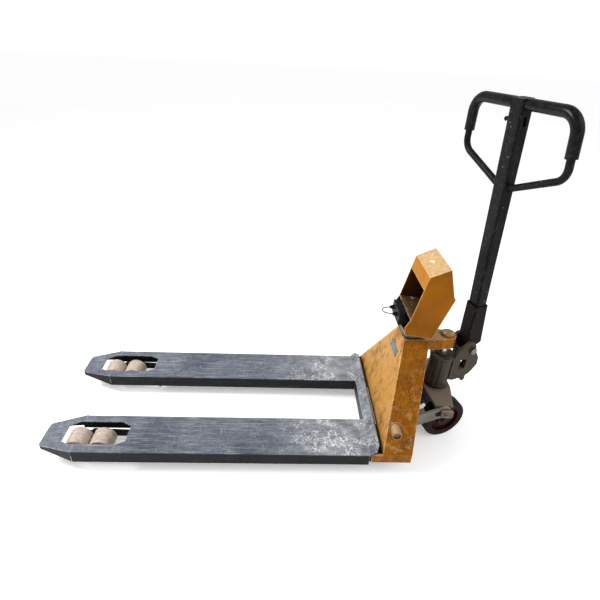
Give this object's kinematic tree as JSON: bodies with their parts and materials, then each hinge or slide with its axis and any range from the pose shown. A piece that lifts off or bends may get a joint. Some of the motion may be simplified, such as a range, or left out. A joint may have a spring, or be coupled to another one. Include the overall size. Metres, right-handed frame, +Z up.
{
  "type": "hand pallet truck with scale",
  "caption": "Hand pallet truck with tapered forks, an orange frame, a weighing deck and hooded indicator, steer wheels and a loop-handled tiller.",
  "frame": {"origin": "on the floor, below the middle of the whole truck with the forks lowered", "axes": "+X from the fork tips towards the tiller, +Y across to the right of a person at the tiller who faces the forks, +Z up"},
  "size_m": [1.5832, 0.555, 1.2102],
  "materials": {
    "orange_paint": "worn satin enamel",
    "deck_steel": "worn grey enamel",
    "frame_steel": "dull black enamel",
    "black_paint": "satin enamel",
    "wheel_paint": "dull enamel",
    "pump_casting": "oily as-cast skin",
    "carrier_casting": "dull as-cast skin",
    "pin_steel": "turned, lightly oiled",
    "spring_steel": "dark wire",
    "ram_chrome": "ground and plated",
    "cell_alloy": "milled",
    "tyre_rubber": "matt, scuffed",
    "roller_nylon": "smooth, soiled",
    "grip_plastic": "moulded, handled",
    "case_plastic": "fine texture",
    "box_plastic": "fine texture",
    "window_plastic": "clear",
    "key_rubber": "matt",
    "cable_jacket": "matt"
  },
  "bodies": {
    "carrier": {"carrier": "carrier_casting", "trunnions": "carrier_casting", "thrust_bearing": "pin_steel"},
    "pump_unit": {"pump_body": "pump_casting", "pivot_bolt": "pin_steel", "spindle": "pump_casting", "wheel_axle": "pin_steel", "plunger_spring": "spring_steel"},
    "plunger": {"plunger": "pin_steel"},
    "tiller": {"drawbar": "black_paint", "drawbar_sleeve": "black_paint", "tiller_foot": "pin_steel", "handle_loop": "black_paint", "grips": "grip_plastic"},
    "cam_roller": {"cam_roller": "pin_steel"},
    "release_lever": {"release_lever": "black_paint"},
    "release_rod": {"release_rod": "pin_steel"},
    "rocker": {"rocker": "carrier_casting"},
    "push_rod_left": {"push_rod_left": "pin_steel"},
    "roller_bracket_left": {"roller_bracket_left": "frame_steel"},
    "bogie_left": {"bogie_left": "frame_steel", "roller_axles_left": "pin_steel"},
    "load_roller_tip_left": {"load_roller_tip_left": "roller_nylon"},
    "load_roller_heel_left": {"load_roller_heel_left": "roller_nylon"},
    "steer_wheel_left": {"steer_tyre_left": "tyre_rubber", "steer_hub_left": "wheel_paint", "steer_bearings_left": "pin_steel"},
    "push_rod_right": {"push_rod_right": "pin_steel"},
    "roller_bracket_right": {"roller_bracket_right": "frame_steel"},
    "bogie_right": {"bogie_right": "frame_steel", "roller_axles_right": "pin_steel"},
    "load_roller_tip_right": {"load_roller_tip_right": "roller_nylon"},
    "load_roller_heel_right": {"load_roller_heel_right": "roller_nylon"},
    "steer_wheel_right": {"steer_tyre_right": "tyre_rubber", "steer_hub_right": "wheel_paint", "steer_bearings_right": "pin_steel"},
    "key_1": {"key_1": "key_rubber"},
    "key_2": {"key_2": "key_rubber"},
    "key_3": {"key_3": "key_rubber"},
    "key_4": {"key_4": "key_rubber"},
    "chassis": {"deck_cross_plate": "deck_steel", "load_cells": "cell_alloy", "inner_frame": "frame_steel", "front_plate": "orange_paint", "junction_box": "box_plastic", "frame_head": "orange_paint", "ram": "ram_chrome", "hood": "orange_paint", "hood_bracket": "frame_steel", "indicator_case": "case_plastic", "indicator_lens": "window_plastic", "cable_glands": "box_plastic", "cell_cable": "cable_jacket", "rocker_shaft": "pin_steel", "fork_cover_left": "deck_steel", "fork_cover_right": "deck_steel", "bracket_pins": "pin_steel", "fork_noses": "deck_steel", "frame_sides": "orange_paint", "side_stub": "orange_paint"}
  },
  "joints": [
    {"name": "lift", "type": "slide", "parent": "carrier", "child": "chassis", "axis": [0, 0, 1], "range_m": [0, 0.115]},
    {"name": "rocker_swing", "type": "hinge", "parent": "chassis", "child": "rocker", "pos_m": [0.45341, 0, 0.072], "axis": [0, 1, 0], "range_deg": [0, 31.89]},
    {"name": "push_rod_left_slide", "type": "slide", "parent": "chassis", "child": "push_rod_left", "axis": [-1, 0, 0], "range_m": [0, 0.01807]},
    {"name": "bracket_left_swing", "type": "hinge", "parent": "chassis", "child": "roller_bracket_left", "pos_m": [-0.47159, -0.1925, 0.0355], "axis": [0, -1, 0], "range_deg": [0, 43.28]},
    {"name": "bogie_left_swing", "type": "hinge", "parent": "roller_bracket_left", "child": "bogie_left", "pos_m": [-0.63759, -0.1925, 0.04], "axis": [0, 1, 0], "range_deg": [0, 43.28]},
    {"name": "load_roller_tip_left_spin", "type": "hinge", "parent": "bogie_left", "child": "load_roller_tip_left", "pos_m": [-0.67959, -0.1925, 0.04], "axis": [0, 1, 0], "continuous": true},
    {"name": "load_roller_heel_left_spin", "type": "hinge", "parent": "bogie_left", "child": "load_roller_heel_left", "pos_m": [-0.59559, -0.1925, 0.04], "axis": [0, 1, 0], "continuous": true},
    {"name": "push_rod_right_slide", "type": "slide", "parent": "chassis", "child": "push_rod_right", "axis": [-1, 0, 0], "range_m": [0, 0.01807]},
    {"name": "bracket_right_swing", "type": "hinge", "parent": "chassis", "child": "roller_bracket_right", "pos_m": [-0.47159, 0.1925, 0.0355], "axis": [0, -1, 0], "range_deg": [0, 43.28]},
    {"name": "bogie_right_swing", "type": "hinge", "parent": "roller_bracket_right", "child": "bogie_right", "pos_m": [-0.63759, 0.1925, 0.04], "axis": [0, 1, 0], "range_deg": [0, 43.28]},
    {"name": "load_roller_tip_right_spin", "type": "hinge", "parent": "bogie_right", "child": "load_roller_tip_right", "pos_m": [-0.67959, 0.1925, 0.04], "axis": [0, 1, 0], "continuous": true},
    {"name": "load_roller_heel_right_spin", "type": "hinge", "parent": "bogie_right", "child": "load_roller_heel_right", "pos_m": [-0.59559, 0.1925, 0.04], "axis": [0, 1, 0], "continuous": true},
    {"name": "steer", "type": "hinge", "parent": "carrier", "child": "pump_unit", "pos_m": [0.64841, 0, 0.19], "axis": [0, 0, 1], "range_deg": [-111.4, 78.6]},
    {"name": "steer_wheel_left_spin", "type": "hinge", "parent": "pump_unit", "child": "steer_wheel_left", "pos_m": [0.67156, -0.07866, 0.085], "axis": [-0.2823, 0.9593, 0], "continuous": true},
    {"name": "steer_wheel_right_spin", "type": "hinge", "parent": "pump_unit", "child": "steer_wheel_right", "pos_m": [0.62526, 0.07866, 0.085], "axis": [-0.2823, 0.9593, 0], "continuous": true},
    {"name": "tiller_swing", "type": "hinge", "parent": "pump_unit", "child": "tiller", "pos_m": [0.7405, 0.02711, 0.354], "axis": [-0.2823, 0.9593, 0], "range_deg": [0, 77], "stiffness_Nm_per_rad": 34, "springref_deg": -20.05},
    {"name": "plunger_stroke", "type": "slide", "parent": "pump_unit", "child": "plunger", "axis": [0, 0, -1], "range_m": [0, 0.03237], "deforming": ["plunger_spring"]},
    {"name": "cam_roller_spin", "type": "hinge", "parent": "tiller", "child": "cam_roller", "pos_m": [0.76002, 0.03285, 0.37018], "axis": [-0.2823, 0.9593, 0], "continuous": true},
    {"name": "release_lever_swing", "type": "hinge", "parent": "tiller", "child": "release_lever", "pos_m": [0.68803, 0.01166, 1.1482], "axis": [-0.9559, -0.2814, -0.0837], "range_deg": [-14, 16], "stiffness_Nm_per_rad": 0.6},
    {"name": "release_rod_slide", "type": "slide", "parent": "tiller", "child": "release_rod", "axis": [-0.0803, -0.0236, 0.9965], "range_m": [-0.00221, 0.00253]},
    {"name": "key_1_press", "type": "slide", "parent": "chassis", "child": "key_1", "axis": [-0.957, 0, -0.29], "range_m": [0, 0.0012], "stiffness_N_per_m": 900, "springref_m": -0.0006},
    {"name": "key_2_press", "type": "slide", "parent": "chassis", "child": "key_2", "axis": [-0.957, 0, -0.29], "range_m": [0, 0.0012], "stiffness_N_per_m": 900, "springref_m": -0.0006},
    {"name": "key_3_press", "type": "slide", "parent": "chassis", "child": "key_3", "axis": [-0.957, 0, -0.29], "range_m": [0, 0.0012], "stiffness_N_per_m": 900, "springref_m": -0.0006},
    {"name": "key_4_press", "type": "slide", "parent": "chassis", "child": "key_4", "axis": [-0.957, 0, -0.29], "range_m": [0, 0.0012], "stiffness_N_per_m": 900, "springref_m": -0.0006}
  ],
  "couplings": [
    {"joint": "rocker_swing", "follows": "lift", "rad_per_m": 4.8388},
    {"joint": "push_rod_left_slide", "follows": "lift", "ratio": 0.15709},
    {"joint": "bracket_left_swing", "follows": "lift", "rad_per_m": 6.5666},
    {"joint": "bogie_left_swing", "follows": "lift", "rad_per_m": 6.5666},
    {"joint": "push_rod_right_slide", "follows": "lift", "ratio": 0.15709},
    {"joint": "bracket_right_swing", "follows": "lift", "rad_per_m": 6.5666},
    {"joint": "bogie_right_swing", "follows": "lift", "rad_per_m": 6.5666},
    {"joint": "plunger_stroke", "follows": "tiller_swing", "m_per_rad": 0.024087},
    {"joint": "release_rod_slide", "follows": "release_lever_swing", "m_per_rad": 0.009}
  ]
}
